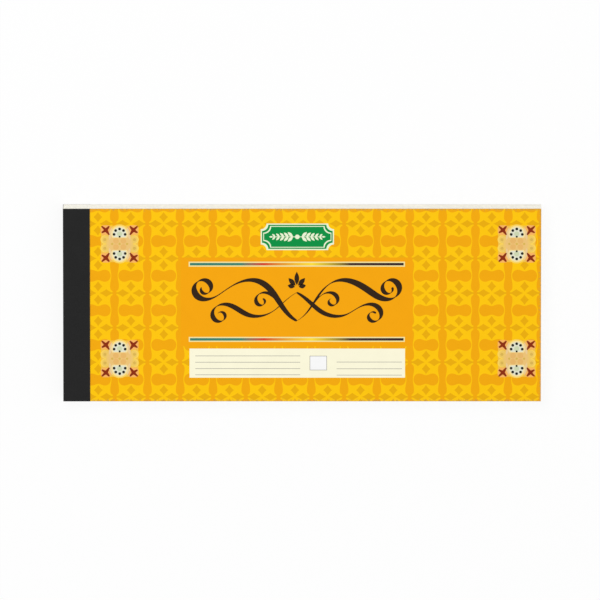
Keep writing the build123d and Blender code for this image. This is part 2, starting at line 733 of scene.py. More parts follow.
@dataclass(frozen=True)
class InkFinish(Finish):
    """One flat ink of the cover's print."""

    roughness: float = 0.5
    specular: float = 0.1
    mottle: float = 0.06

    @classmethod
    def shade(cls, name: str, *screen: int, roughness: float = 0.5) -> "InkFinish":
        """An ink of one screen colour."""
        return cls(f"{name}_ink", roughness, colour=screen_colour(*screen))

    def paint(self, graph: Graph, place: Flow) -> Inputs:
        """A slightly uneven film.

        Args:
            graph: Graph of the material.
            place: Place on the cover.

        Returns:
            Colour and roughness.
        """
        film = InkMottle().placed(graph, Place=place, Amount=self.mottle)
        colour = graph.scaled(self.colour, film["Tone"])
        return {"Base Color": colour, "Roughness": film["Rough"] + self.roughness}


@dataclass(frozen=True)
class WireFinish(InkFinish):
    """Galvanised staple wire, with a coat that is uneven as an ink film is."""

    roughness: float = 0.35
    specular: float = 0.3
    colour: Colour = (0.55, 0.55, 0.54, 1.0)
    mottle: float = 0.2

    def paint(self, graph: Graph, place: Flow) -> Inputs:
        """The uneven coat, as metal."""
        return {**super().paint(graph, place), "Metallic": 1.0}


@dataclass(frozen=True)
class RainbowFinish(Finish):
    """Printed bar whose colour changes along the cover."""

    roughness: float = 0.5
    specular: float = 0.1
    mottle: float = 0.06
    start: float = -61.9
    end: float = 56.1
    stops: tuple[tuple[float, Colour], ...] = (
        (0.0, screen_colour(54, 126, 112)),
        (0.24, screen_colour(66, 132, 112)),
        (0.345, screen_colour(214, 66, 44)),
        (0.57, screen_colour(255, 222, 60)),
        (0.75, screen_colour(70, 46, 40)),
        (1.0, screen_colour(48, 30, 36)),
    )

    def paint(self, graph: Graph, place: Flow) -> Inputs:
        """Colours blended along the bar, in a slightly uneven film.

        Args:
            graph: Graph of the material.
            place: Place on the cover.

        Returns:
            Colour.
        """
        x, _, _ = graph.split(place)
        ramp = graph.node("ShaderNodeValToRGB", {"Fac": (x - self.start) / (self.end - self.start)})
        elements = ramp.color_ramp.elements
        while len(elements) < len(self.stops):
            elements.new(1.0)
        for element, (position, colour) in zip(elements, self.stops):
            element.position = position
            element.color = colour
        film = InkMottle().placed(graph, Place=place, Amount=self.mottle)
        return {"Base Color": graph.scaled(Flow(graph, ramp.outputs[0]), film["Tone"])}


@dataclass(frozen=True)
class TrellisFinish(Finish):
    """Outside of the cover: an orange trellis on yellow, round a plain orange panel, with a band of painted
    edge shade along its border.
    """

    roughness: float = 0.48
    specular: float = 0.1
    source: Place = Place.SHEET_MAP
    ground: Colour = screen_colour(255, 199, 0)
    lattice: Colour = screen_colour(244, 170, 0)
    petal: Colour = screen_colour(235, 174, 0)
    panel: Colour = screen_colour(247, 167, 0)
    mottle: float = 0.05
    pitch: Point = (18.116, 19.58)
    pillar_x: float = -103.58
    row_y: float = -2.98
    bone_half_length: float = 6.9
    bone_lobe: float = 3.4
    bone_waist: float = 2.45
    pillar_lobe_offset: float = 5.7
    pillar_lobe_half: Point = (2.4, 3.2)
    pillar_waist: float = 1.75
    pillar_neck: float = 1.05
    pillar_bluntness: float = 3.0
    side_petal_offset: float = 4.53
    side_petal_half: Point = (3.8, 2.25)
    end_petal_offset: float = 3.79
    end_petal_half: Point = (2.5, 2.95)
    petal_power: float = 0.86
    thread: float = 0.45
    panel_low: Point = (-66.9, -23.2)
    panel_high: Point = (61.0, 26.9)
    # Painted edge shade: a darker brownish band along the cover's edges
    wear_and_shade: WearAndShadeBand = WearAndShadeBand((-132.0, -54.5), (132.0, 54.5), 2.0, screen_colour(186, 146, 74))

    def paint(self, graph: Graph, place: Flow) -> Inputs:
        """The pattern in uneven ink, with a darker brownish band of painted edge shade along the edges.

        Args:
            graph: Graph of the material.
            place: Place on the cover.

        Returns:
            Colour and roughness.
        """
        film = InkMottle().placed(graph, Place=place, Amount=self.mottle)
        inked = graph.scaled(self._pattern(graph, place), film["Tone"])
        # Painted edge shade: the darker brownish band along the cover's edges
        worn_and_shaded = graph.mixed(self.wear_and_shade.mask(graph, place), inked, self.wear_and_shade.colour)
        return {"Base Color": worn_and_shaded, "Roughness": film["Rough"] + self.roughness}

    def _pattern(self, graph: Graph, place: Flow) -> Flow:
        """Ground, florets, bars and panel, each over the one before.

        Args:
            graph: Graph of the material.
            place: Place on the cover.

        Returns:
            Colour of the pattern.
        """
        x, y, _ = graph.split(place)
        pitch_x, pitch_y = self.pitch
        from_pillar = (x - self.pillar_x).wrapped(pitch_x)
        from_bone = (x - self.pillar_x - pitch_x / 2).wrapped(pitch_x)
        from_row = (y - self.row_y).wrapped(pitch_y)
        from_floret = (y - self.row_y - pitch_y / 2).wrapped(pitch_y)
        bars = self._bone(from_bone, from_row).either(self._pillar(from_pillar, from_row))
        colour = graph.mixed(self._floret(from_bone, from_floret), self.ground, self.petal)
        colour = graph.mixed(bars, colour, self.lattice)
        return graph.mixed(boxed(x, y, self.panel_low, self.panel_high), colour, self.panel)

    def _bone(self, along: Flow, up: Flow) -> Flow:
        """Mask of a level bar with two lobes and a hollow waist.

        Its edge is the curve whose distances to two foci have one product, stretched upwards.

        Args:
            along: Place along the bar, from its middle.
            up: Place across it, from its middle.

        Returns:
            1 inside the bar, else 0.
        """
        slimness = (self.bone_waist / self.bone_lobe) ** 2
        spread = 2 * (1 - math.sqrt(1 - slimness)) / slimness
        focus = self.bone_half_length / math.sqrt(1 + spread)
        rise = up / (2 * self.bone_lobe / (spread * focus))
        near = abs(along) - focus
        far = abs(along) + focus
        product = (near * near + rise * rise) * (far * far + rise * rise)
        return product.below((spread * focus**2) ** 2)

    def _pillar(self, along: Flow, up: Flow) -> Flow:
        """Mask of an upright bar that swells from its waist to two blunt ends, with a neck to the next bar.

        Args:
            along: Place across the bar, from its middle.
            up: Place up the bar, from its middle.

        Returns:
            1 inside the bar, else 0.
        """
        shaft = abs(up).least(self.pillar_lobe_offset)
        # Half a cosine wave, from 0 at the waist to 1 at the lobes
        swell = (shaft * (math.pi / self.pillar_lobe_offset)).math("COSINE") * -0.5 + 0.5
        half = swell * (self.pillar_lobe_half[0] - self.pillar_waist) + self.pillar_waist
        share_x = along / half
        share_y = (abs(up) - shaft) / self.pillar_lobe_half[1]
        blunt = (share_x * share_x + share_y.math("POWER", self.pillar_bluntness)).below(1.0)
        return blunt.either(abs(along).below(self.pillar_neck))

    def _floret(self, along: Flow, up: Flow) -> Flow:
        """Mask of four lozenges round a crossing, with threads from the side ones to the next floret.

        Args:
            along: Place along the row, from the crossing.
            up: Place up the cover, from the crossing.

        Returns:
            1 inside the floret, else 0.
        """
        sides = self._lozenge(abs(along) - self.side_petal_offset, up, self.side_petal_half)
        ends = self._lozenge(along, abs(up) - self.end_petal_offset, self.end_petal_half)
        thread = abs(along).above(self.side_petal_offset) * abs(up).below(self.thread)
        return sides.either(ends).either(thread)

    def _lozenge(self, along: Flow, up: Flow, half: Point) -> Flow:
        """Mask of one lozenge with slightly hollow sides."""
        shares = [abs(off / size).math("POWER", self.petal_power) for off, size in zip((along, up), half)]
        return (shares[0] + shares[1]).below(1.0)


@dataclass(frozen=True)
class PaperStock:
    """Paper of one kind of leaf, and its material slot."""

    kind: str
    colour: Colour
    slot: str

    def sheet(self) -> tuple[Finish, Finish, Finish]:
        """Finishes of a leaf's top, underside and cut edges.

        Returns:
            The three finishes.
        """
        form = FormFinish(f"{self.kind}_form", colour=self.colour)
        paper = PaperFinish(f"{self.kind}_paper", colour=self.colour)
        return form, paper, EdgeFinish(f"{self.kind}_edges", colour=self.colour)

    def margin(self) -> Finish:
        """Finish of the bound edges, which show only as cut edges."""
        return EdgeFinish(f"{self.kind}_margin_edges", colour=self.colour, source=Place.EDGES)


class Palette:
    """Every finish of the book that needs no size of a CAD piece."""

    original = PaperStock("original", screen_colour(247, 247, 244), "white_paper")
    duplicate = PaperStock("duplicate", screen_colour(252, 247, 229), "cream_paper")
    trellis = TrellisFinish("cover_print")
    card = PaperFinish(
        "cover_card_inside",
        roughness=0.8,
        colour=screen_colour(240, 234, 214),
        fibres_per_mm=2.5,
        contrast=0.08,
    )
    carbon = CarbonFinish("carbon_coat")
    wire = WireFinish("staple_wire")
    rainbow = RainbowFinish("rainbow_bar")
    cream = InkFinish.shade("cream", 253, 249, 220)
    keyline = InkFinish.shade("keyline", 244, 229, 163)
    white = InkFinish.shade("white", 250, 250, 250)
    grey_line = InkFinish.shade("grey_line", 168, 166, 158)
    plaque_green = InkFinish.shade("plaque_green", 0, 143, 66, roughness=0.45)
    plaque_pale = InkFinish.shade("plaque_pale", 236, 246, 214, roughness=0.45)
    flourish = InkFinish.shade("flourish", 46, 30, 14)
    tile_maroon = InkFinish.shade("tile_maroon", 138, 44, 6)
    tile_charcoal = InkFinish.shade("tile_charcoal", 24, 24, 18)
    tile_peach = InkFinish.shade("tile_peach", 234, 184, 106)
    tile_salmon = InkFinish.shade("tile_salmon", 251, 182, 98)
    tile_ground = InkFinish.shade("tile_ground", 238, 196, 120)
    tile_rim = InkFinish.shade("tile_rim", 240, 200, 112)
    tile_base = InkFinish.shade("tile_base", 242, 194, 76)
    tile_lobe = InkFinish.shade("tile_lobe", 240, 203, 100)
    tile_flank = InkFinish.shade("tile_flank", 237, 205, 150)
    tile_gold = InkFinish.shade("tile_gold", 253, 215, 92)
    tile_pale = InkFinish.shade("tile_pale", 248, 226, 162)
    tile_fan = InkFinish.shade("tile_fan", 228, 229, 207)
    tile_fan_heart = InkFinish.shade("tile_fan_heart", 206, 215, 178)
    tile_speck = InkFinish.shade("tile_speck", 218, 182, 84)


class Shapes:
    """Flat outlines, counterclockwise."""

    @staticmethod
    def rectangle(low: Point, high: Point) -> Polygon:
        """Rectangle between two corners."""
        return [low, (high[0], low[1]), high, (low[0], high[1])]

    @staticmethod
    def disc(centre: Point, radius: float, sides: int = 20) -> Polygon:
        """Round dot."""
        turns = (math.tau * n / sides for n in range(sides))
        return [(centre[0] + radius * math.cos(t), centre[1] + radius * math.sin(t)) for t in turns]

    @staticmethod
    def petal(root: Point, length: float, width: float, angle: float, steps: int = 8) -> Polygon:
        """Pointed oval that grows from a root.

        Args:
            root: Its near tip.
            length: From tip to tip.
            width: Across its middle.
            angle: Direction that it grows in, in radians.
            steps: Straight steps along each side.

        Returns:
            The outline.
        """
        shares = [n / steps for n in range(steps + 1)]
        side = [(share * length, math.sin(math.pi * share) * width / 2) for share in shares]
        outline = [(a, -b) for a, b in side] + side[-2:0:-1]
        cos, sin = math.cos(angle), math.sin(angle)
        return [(root[0] + a * cos - b * sin, root[1] + a * sin + b * cos) for a, b in outline]

    @staticmethod
    def notched(centre: Point, size: Point, notch: float, steps: int = 6) -> Polygon:
        """Rectangle with a round bite out of each corner.

        Args:
            centre: Its middle.
            size: Its width and height.
            notch: Radius of the bites.
            steps: Straight steps round each bite.

        Returns:
            The outline.
        """
        outline = []
        for number, (side_x, side_y) in enumerate(((1, -1), (1, 1), (-1, 1), (-1, -1))):
            corner_x = centre[0] + side_x * size[0] / 2
            corner_y = centre[1] + side_y * size[1] / 2
            for n in range(steps + 1):
                turn = math.pi + (number - n / steps) * math.pi / 2
                outline.append((corner_x + notch * math.cos(turn), corner_y + notch * math.sin(turn)))
        return outline

    @staticmethod
    def ring(outer: Polygon, inner: Polygon) -> list[Polygon]:
        """Band between two outlines with as many points each."""
        pairs = list(zip(outer, inner))
        return [[a, c, d, b] for (a, b), (c, d) in zip(pairs, pairs[1:] + pairs[:1])]


@dataclass(frozen=True)
class Perforation:
    """Row of slits beside the binding that a receipt tears along."""

    offset: float = 6.0 * MM
    slit_length: float = 3.4 * MM
    slit_tie: float = 1.1 * MM
    slit_width: float = 0.4 * MM
    tear_gap: float = 0.04 * MM

    def slits(self, low_y: float, high_y: float) -> list[tuple[float, float]]:
        """Both ends of each slit along a sheet's height.

        Args:
            low_y: Lower edge of the sheet.
            high_y: Upper edge of the sheet.

        Returns:
            The lower and upper end of each slit, from the bottom up.
        """
        pitch = self.slit_length + self.slit_tie
        count = int((high_y - low_y - self.slit_tie) / pitch)
        first = (low_y + high_y) / 2 - pitch * (count - 1) / 2
        half = self.slit_length / 2
        return [(first + n * pitch - half, first + n * pitch + half) for n in range(count)]


class LeafPart(Enum):
    """Which part of a leaf a sheet is."""

    PLAIN = "plain"
    WHOLE = "whole"
    STUB = "stub"
    RECEIPT = "receipt"


@dataclass(frozen=True)
class Fold:
    """The bend beside the tape that the cover and the leaves turn in."""

    start: float
    bound_edge: float
    width: float = 4.0 * MM
    steps: int = 16

    @property
    def end(self) -> float:
        """Where a turned sheet is flat again."""
        return self.start + self.width

    def columns(self) -> list[float]:
        """Places from the bound edge to the end of the bend, closer together than the curve needs."""
        step = (self.end - self.bound_edge) / self.steps
        return [self.bound_edge + step * n for n in range(self.steps + 1)]

    def bend(self, piece: bpy.types.Object, body: str) -> None:
        """Bake a sheet's place into its mesh. The sheet is neither bent nor made to turn with a body."""
        self.end
        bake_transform(piece)


def placed_object(name: str, data: bpy.types.ID) -> bpy.types.Object:
    """A new object in the scene.

    Args:
        name: Name of the object.
        data: Its mesh, light or camera.

    Returns:
        The object.
    """
    made = bpy.data.objects.new(name, data)
    bpy.context.scene.collection.objects.link(made)
    return made


class SheetMaker:
    """Collects flat sheets in one mesh, with a map of each point's place at rest."""

    STEPS_PER_METRE = 1e8
    SHARP_ANGLE = math.radians(40)

    def __init__(self, name: str, finishes: Sequence[Finish]) -> None:
        """Start an empty mesh.

        Args:
            name: Name of the piece.
            finishes: Finishes that its faces take.
        """
        self.name = name
        self.finishes = finishes
        self.points: list[tuple[float, float, float]] = []
        self.faces: list[list[int]] = []
        self.slots: list[int] = []
        self.places: list[float] = []

    def add(
        self, plan: Iterable[Polygon], low_z: float, high_z: float, slots: tuple[int, int, int] = (0, 1, 2)
    ) -> None:
        """Add one sheet: its plan at two levels, and walls round its open edges.

        Args:
            plan: Polygons of the plan, counterclockwise, which share whole edges.
            low_z: Level of the underside.
            high_z: Level of the top.
            slots: Which finish the top, the underside and the cut edges take.
        """
        corners: dict[tuple[int, int], int] = {}
        loops: list[list[int]] = []
        for polygon in plan:
            loop = []
            for x, y in polygon:
                key = (round(x * self.STEPS_PER_METRE), round(y * self.STEPS_PER_METRE))
                if key not in corners:
                    corners[key] = len(self.points)
                    self.points += [(x, y, low_z), (x, y, high_z)]
                loop.append(corners[key])
            loops.append(loop)
        edges = {(a, b) for loop in loops for a, b in zip(loop, loop[1:] + loop[:1])}
        for loop in loops:
            self._face([corner + 1 for corner in loop], slots[0])
            self._face(loop[::-1], slots[1])
        for a, b in sorted(edges):
            if (b, a) not in edges:
                self._face([a, b, b + 1, a + 1], slots[2], wall=True)

    def _face(self, corners: list[int], slot: int, wall: bool = False) -> None:
        """Add one face with its finish.

        Args:
            corners: Numbers of its points.
            slot: Number of its finish.
            wall: Whether it is mapped along the edge and up, in place of along and across the sheet.
        """
        self.faces.append(corners)
        self.slots.append(slot)
        for x, y, z in (self.points[corner] for corner in corners):
            self.places += (x + y, z) if wall else (x, y)

    def piece(self) -> bpy.types.Object:
        """The finished object, shaded smooth across the bend and sharp at its edges.

        Returns:
            The object, in the scene.
        """
        mesh = bpy.data.meshes.new(self.name)
        mesh.from_pydata(self.points, [], self.faces)
        for finish in self.finishes:
            mesh.materials.append(finish.material())
        mesh.polygons.foreach_set("material_index", self.slots)
        mesh.uv_layers.new(name=MAP_NAME).data.foreach_set("uv", self.places)
        mesh.shade_smooth()
        mesh.set_sharp_from_angle(angle=self.SHARP_ANGLE)
        return placed_object(self.name, mesh)


def leaf_plan(
    part: LeafPart, fold: Fold, perforation: Perforation, low_y: float, high: Point
) -> list[Polygon]:
    """Polygons of a leaf from above.

    Args:
        part: Which part of the leaf is made.
        fold: Bend beside the tape.
        perforation: Row of slits.
        low_y: Lower edge of the leaf.
        high: Corner at the free edge and the upper edge.

    Returns:
        The polygons, which share whole edges.
    """
    high_x, high_y = high
    columns = fold.columns()
    bend = [Shapes.rectangle((a, low_y), (b, high_y)) for a, b in zip(columns, columns[1:])]
    if part is LeafPart.PLAIN:
        return bend + [Shapes.rectangle((fold.end, low_y), high)]
    middle = fold.start + perforation.offset
    near = middle - perforation.slit_width / 2
    far = middle + perforation.slit_width / 2
    ends = [low_y, *(y for slit in perforation.slits(low_y, high_y) for y in slit), high_y]
    stub = [(fold.end, low_y), *((near, y) for y in ends), (fold.end, high_y)]
    receipt = [(high_x, low_y), (high_x, high_y), *((far, y) for y in reversed(ends))]
    tie_start = middle + perforation.tear_gap / 2 if part is LeafPart.RECEIPT else near
    tie_end = middle - perforation.tear_gap / 2 if part is LeafPart.STUB else far
    ties = zip(ends[0::2], ends[1::2])
    tabs = [Shapes.rectangle((tie_start, a), (tie_end, b)) for a, b in ties]
    if part is LeafPart.STUB:
        return bend + [stub] + tabs
    if part is LeafPart.RECEIPT:
        return tabs + [receipt]
    return bend + [stub] + tabs + [receipt]


def stand_for(piece: bpy.types.Object, node: str) -> None:
    """Let a piece stand for a CAD node, and report it.

    Args:
        piece: The piece.
        node: Name of the node.
    """
    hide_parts(node)
    LOG.info("%s stands for %s", piece.name, node)


def dress(node: str, finish: Finish) -> None:
    """Give a CAD node its finish, and report it.

    Args:
        node: Name of the node.
        finish: Finish of all its faces.
    """
    for slot in frame["nodes"][node].material_slots:
        slot.material = finish.material()
    LOG.info("%s has the finish %s", node, finish.name)


@dataclass
class Binding:
    """Tape, staples, bound edges and back cover."""

    tape_colour: Colour = screen_colour(30, 30, 30)
    tape_rubbed: Colour = (0.07, 0.07, 0.07, 1.0)
    tape_rub_width: float = 0.5
    tape_rub_strength: float = 0.5
    board_colour: Colour = screen_colour(246, 244, 238)
    board_rubbed: Colour = (0.5, 0.46, 0.4, 1.0)
    board_rub_width: float = 0.8
    board_rub_strength: float = 0.7

    def build(self) -> None:
        """Dress the CAD pieces of the binding."""
        tape_rub = WearAndShadeBand.along(
            "spine_tape", self.tape_rub_width, self.tape_rubbed, self.tape_rub_strength
        )
        board_rub = WearAndShadeBand.along(
            "back_cover", self.board_rub_width, self.board_rubbed, self.board_rub_strength
        )
        finishes = {
            "spine_tape": TapeFinish("binding_tape", colour=self.tape_colour, wear_and_shade=tape_rub),
            "back_cover": BoardFinish("back_board", colour=self.board_colour, wear_and_shade=board_rub),
            "front_cover_margin": Palette.card,
            "original_margins": Palette.original.margin(),
            "duplicate_margins": Palette.duplicate.margin(),
            "binding_staples": Palette.wire,
        }
        for node, finish in finishes.items():
            dress(node, finish)


@dataclass
class LeafStack:
    """Originals, duplicates and carbon between the covers."""

    fold: Fold
    perforation: Perforation = Perforation()
    turned_sets: tuple[int, ...] = (1, 2, 3, 4, 5)
    torn_set: int = 3
    trim_spread: float = 0.05 * MM
    trim_seed: int = 7

    def __post_init__(self) -> None:
        """Start the draws that trim the leaves."""
        self.draws = random.Random(self.trim_seed)

    def build(self) -> None:
        """Make every leaf and dress the carbon sheet."""
        for number in self.turned_sets:
            self._single_set(f"{number:02d}", number == self.torn_set)
        for node in sorted(frame["nodes"]):
            if "_to_" in node:
                self._bundle(node)
        dress("carbon_sheet", Palette.carbon)

    def _single_set(self, number: str, torn: bool) -> None:
        """Make the original and the duplicate of one of the upper sets.

        Args:
            number: The set's number, in two digits.
            torn: Whether its receipt is parted from the stub.
        """
        if torn:
            self._leaves(f"original_{number}_stub", LeafPart.STUB, f"leaf_original_{number}")
            self._leaves(f"original_{number}_receipt", LeafPart.RECEIPT, f"receipt_{number}")
        else:
            self._leaves(f"original_{number}", LeafPart.WHOLE, f"leaf_original_{number}")
        self._leaves(f"duplicate_{number}", LeafPart.PLAIN, f"leaf_duplicate_{number}")

    def _bundle(self, node: str) -> None:
        """Make the leaves of one node deeper in the stack.

        Args:
            node: CAD node with several leaves of one kind.
        """
        first, last = (int(word) for word in node.split("_") if word.isdigit())
        part = LeafPart.WHOLE if node.startswith("original") else LeafPart.PLAIN
        self._leaves(node, part, f"bundle_{first:02d}_to_{last:02d}", last - first + 1)

    def _leaves(self, node: str, part: LeafPart, body: str, count: int = 1) -> None:
        """Make one leaf or more as one piece in place of their node.

        Args:
            node: CAD node of the leaves.
            part: Which part of a leaf each one is.
            body: Body that a receipt is attached to. Other parts hand it to the fold, which does not use
                it.
            count: How many leaves the node has.
        """
        low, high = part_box(node)
        single_low, single_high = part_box(node if count == 1 else "duplicate_01")
        thickness = single_high.z - single_low.z
        step = (high.z - low.z - thickness) / max(count - 1, 1)
        stock = Palette.original if node.startswith("original") else Palette.duplicate
        maker = SheetMaker(f"{node}_sheet" if count == 1 else f"{node}_sheets", stock.sheet())
        for number in range(count):
            level = low.z + number * step
            maker.add(self._trimmed(part, low, high), level, level + thickness)
        piece = maker.piece()
        if part is LeafPart.RECEIPT:
            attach(piece, body)
        else:
            self.fold.bend(piece, body)
        stand_for(piece, node)

    def _trimmed(self, part: LeafPart, low: Vector, high: Vector) -> list[Polygon]:
        """Plan of one leaf, trimmed a hair unevenly at its three open edges.

        Args:
            part: Which part of a leaf it is.
            low: Lowest corner of its node.
            high: Highest corner of its node.

        Returns:
            The plan's polygons.
        """
        bottom, end, top = (self.draws.uniform(0, self.trim_spread) for _ in range(3))
        corner = (high.x - end, high.y - top)
        return leaf_plan(part, self.fold, self.perforation, low.y + bottom, corner)


@dataclass
class FrontCover:
    """Printed card cover, which turns beside the tape."""

    fold: Fold

    def build(self) -> None:
        """Make the cover in place of its flap."""
        low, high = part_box("front_cover")
        maker = SheetMaker("front_cover_card", (Palette.trellis, Palette.card, Palette.card))
        plan = leaf_plan(LeafPart.PLAIN, self.fold, Perforation(), low.y, (high.x, high.y))
        maker.add(plan, low.z, high.z)
        piece = maker.piece()
        self.fold.bend(piece, "cover_flap")
        stand_for(piece, "front_cover")


@dataclass(frozen=True)
class ColourBar:
    """Bar that runs through several colours, on a cream keyline."""

    middle: float
    height: float = 1.4
    keyline: float = 0.7

    def layers(self) -> Layers:
        """Inks of the bar.

        Returns:
            Finish and outlines of each ink, from the lowest up.
        """
        rainbow = Palette.rainbow
        low = (rainbow.start, self.middle - self.height / 2)
        high = (rainbow.end, self.middle + self.height / 2)
        edge = Shapes.rectangle(*inset(low, high, -self.keyline))
        return [(Palette.keyline, [edge]), (rainbow, [Shapes.rectangle(low, high)])]


@dataclass(frozen=True)
class BlankLabel:
    """Cream label with an empty box and blank rules to write on."""

    low: Point = (-62.2, -41.1)
    high: Point = (56.9, -24.6)
    box_low: Point = (4.2, -36.9)
    box_high: Point = (13.75, -28.7)
    line: float = 0.3
    left_x: Point = (-59.0, -1.0)
    left_rules: tuple[float, ...] = (-28.9, -32.5, -36.1, -39.6)
    right_x: Point = (19.1, 55.2)
    right_rules: tuple[float, ...] = (-32.4, -36.2, -39.8)

    def layers(self) -> Layers:
        """Inks of the label.

        Returns:
            Finish and outlines of each ink, from the lowest up.
        """
        box = Shapes.rectangle(self.box_low, self.box_high)
        inner = Shapes.rectangle(*inset(self.box_low, self.box_high, self.line))
        lines = Shapes.ring(box, inner)
        for (start, end), heights in ((self.left_x, self.left_rules), (self.right_x, self.right_rules)):
            lines += [Shapes.rectangle((start, y), (end, y + self.line)) for y in heights]
        return [
            (Palette.cream, [Shapes.rectangle(self.low, self.high)]),
            (Palette.white, [inner]),
            (Palette.grey_line, lines),
        ]


@dataclass(frozen=True)
class Plaque:
    """Green plaque with bitten corners, a pale edge and a sprig of two mirrored branches about a bud."""

    centre: Point = (-2.6, 38.6)
    size: Point = (40.4, 15.0)
    notch: float = 3.2
    notch_growth: float = 0.4
    insets: tuple[float, ...] = (0.0, 0.7, 1.4, 1.82)
    bud_radius: float = 1.275
    branch: float = 13.332
    leaf_pairs: int = 5
    leaf_crowding: float = 0.5
    leaf_longest: float = 4.3125
    leaf_taper: float = 2.0625
    leaf_width_share: float = 0.42
    leaf_lean: float = 0.75
    end_leaf: Point = (2.25, 0.975)
    stem_start: float = 1.125
    stem_half: float = 0.1875

    def layers(self) -> Layers:
        """Inks of the plaque.

        Returns:
            Finish and outlines of each ink, from the lowest up.
        """
        outer, green, line_outer, line_inner = (self._outline(by) for by in self.insets)
        x, y = self.centre
        stems = [
            Shapes.rectangle((x + start, y - self.stem_half), (x + end, y + self.stem_half))
            for start, end in ((self.stem_start, self.branch), (-self.branch, -self.stem_start))
        ]
        return [
            (Palette.plaque_pale, [outer]),
            (Palette.plaque_green, [green]),
            (Palette.plaque_pale, Shapes.ring(line_outer, line_inner) + self._leaves()),
            (Palette.plaque_pale, stems),
        ]

    def _outline(self, by: float) -> Polygon:
        """Outline of the plaque, moved inwards."""
        size = (self.size[0] - 2 * by, self.size[1] - 2 * by)
        return Shapes.notched(self.centre, size, self.notch + by * self.notch_growth)

    def _leaves(self) -> list[Polygon]:
        """The bud, the pairs of leaves and the end leaves of both branches.

        Returns:
            The outlines.
        """
        x, y = self.centre
        leaves = [Shapes.disc(self.centre, self.bud_radius)]
        for side in SIDES:
            ahead = 0.0 if side > 0 else math.pi
            for n in range(1, self.leaf_pairs + 1):
                share = n / (self.leaf_pairs + self.leaf_crowding)
                root = (x + side * self.branch * share, y)
                length = self.leaf_longest - self.leaf_taper * share
                for lean in (self.leaf_lean, -self.leaf_lean):
                    width = length * self.leaf_width_share
                    leaves.append(Shapes.petal(root, length, width, ahead + side * lean))
            leaves.append(Shapes.petal((x + side * self.branch, y), *self.end_leaf, ahead))
        return leaves


@dataclass(frozen=True)
class PenStroke:
    """Broad-nib stroke whose curvature changes steadily over each run. Its angles are in degrees."""

    start: Point
    heading: float
    runs: tuple[tuple[float, float, float], ...]
    widest: float
    thinnest: float
    nib: float = 35.0
    press_power: float = 1.3
    end_power: float = 0.5
    end_share: float = 0.25
    step: float = 0.5

    def faces(self, middle: Point, side: int) -> list[Polygon]:
        """Faces of the stroke.

        Args:
            middle: Place on the cover that the stroke is drawn from.
            side: 1 as written, or -1 mirrored about the middle. The pen is held the same way in both.

        Returns:
            The faces, counterclockwise.
        """
        path = self._path()
        edges = []
        for number, (x, y, turn) in enumerate(path):
            turn = turn if side > 0 else math.pi - turn
            press = abs(math.sin(turn - math.radians(self.nib))) ** self.press_power
            fullness = math.sin(math.pi * number / (len(path) - 1)) ** self.end_power
            width = self.thinnest + (self.widest - self.thinnest) * press
            half = width * (self.end_share + (1 - self.end_share) * fullness) / 2
            x, y = middle[0] + side * x, middle[1] + y
            off_x, off_y = -math.sin(turn) * half, math.cos(turn) * half
            edges.append(((x - off_x, y - off_y), (x + off_x, y + off_y)))
        return [[a, c, d, b] for (a, b), (c, d) in zip(edges, edges[1:])]

    def _path(self) -> list[tuple[float, float, float]]:
        """The stroke's middle line.

        Returns:
            Places along it, each with its heading in radians.
        """
        (x, y), turn = self.start, math.radians(self.heading)
        path = [(x, y, turn)]
        for length, first, last in self.runs:
            count = round(length / self.step)
            part = length / count
            for number in range(count):
                bend = (first + (last - first) * (number + 0.5) / count) * part
                x += math.cos(turn + bend / 2) * part
                y += math.sin(turn + bend / 2) * part
                turn += bend
                path.append((x, y, turn))
        return path


@dataclass(frozen=True)
class Flourish:
    """Pen ornament of mirrored strokes under a small palmette."""

    middle: Point = (-2.9, 2.6)
    strokes: tuple[PenStroke, ...] = (
        PenStroke(
            start=(0.0, -11.5),
            heading=28,
            runs=(
                (15, 0.07, 0.0),
                (17, 0.0, -0.086),
                (21, -0.086, 0.0),
                (13.5, 0.0, 0.16),
                (21, 0.16, 0.24),
                (10.5, 0.24, 0.48),
            ),
            widest=4.0,
            thinnest=0.5,
        ),
        PenStroke(
            start=(0.0, 4.5),
            heading=-28,
            runs=(
                (14.5, -0.05, 0.02),
                (18, 0.048, 0.08),
                (13, 0.057, -0.115),
                (15, -0.115, -0.26),
                (12, -0.26, -0.48),
            ),
            widest=3.2,
            thinnest=0.4,
        ),
        PenStroke(
            start=(10.2, -0.8),
            heading=56,
            runs=((9, -0.03, -0.16), (9, -0.16, -0.3), (9, -0.3, -0.6)),
            widest=2.4,
            thinnest=0.35,
        ),
    )
    palmette_root: Point = (0.0, 7.6)
    palmette_leans: tuple[float, ...] = (-80, -42, 0, 42, 80)
    palmette_gap: float = 1.1
    palmette_length: float = 7.6
    palmette_fall: float = 0.045
    palmette_width: float = 2.6

    def layers(self) -> Layers:
        """Strokes from the lowest up, each as an ink of its own, and the palmette.

        Returns:
            Finish and outlines of each.
        """
        shapes = [stroke.faces(self.middle, side) for stroke in self.strokes for side in SIDES]
        shapes.append([self._leaf(lean) for lean in self.palmette_leans])
        return [(Palette.flourish, outlines) for outlines in shapes]

    def _leaf(self, lean: float) -> Polygon:
        """One leaf of the palmette, shorter the more it leans.

        Args:
            lean: How far it leans to the left of upright, in degrees.

        Returns:
            The outline.
        """
        angle = math.pi / 2 + math.radians(lean)
        x = self.middle[0] + self.palmette_root[0] + self.palmette_gap * math.cos(angle)
        y = self.middle[1] + self.palmette_root[1] + self.palmette_gap * math.sin(angle)
        length = self.palmette_length - self.palmette_fall * abs(lean)
        return Shapes.petal((x, y), length, self.palmette_width, angle)


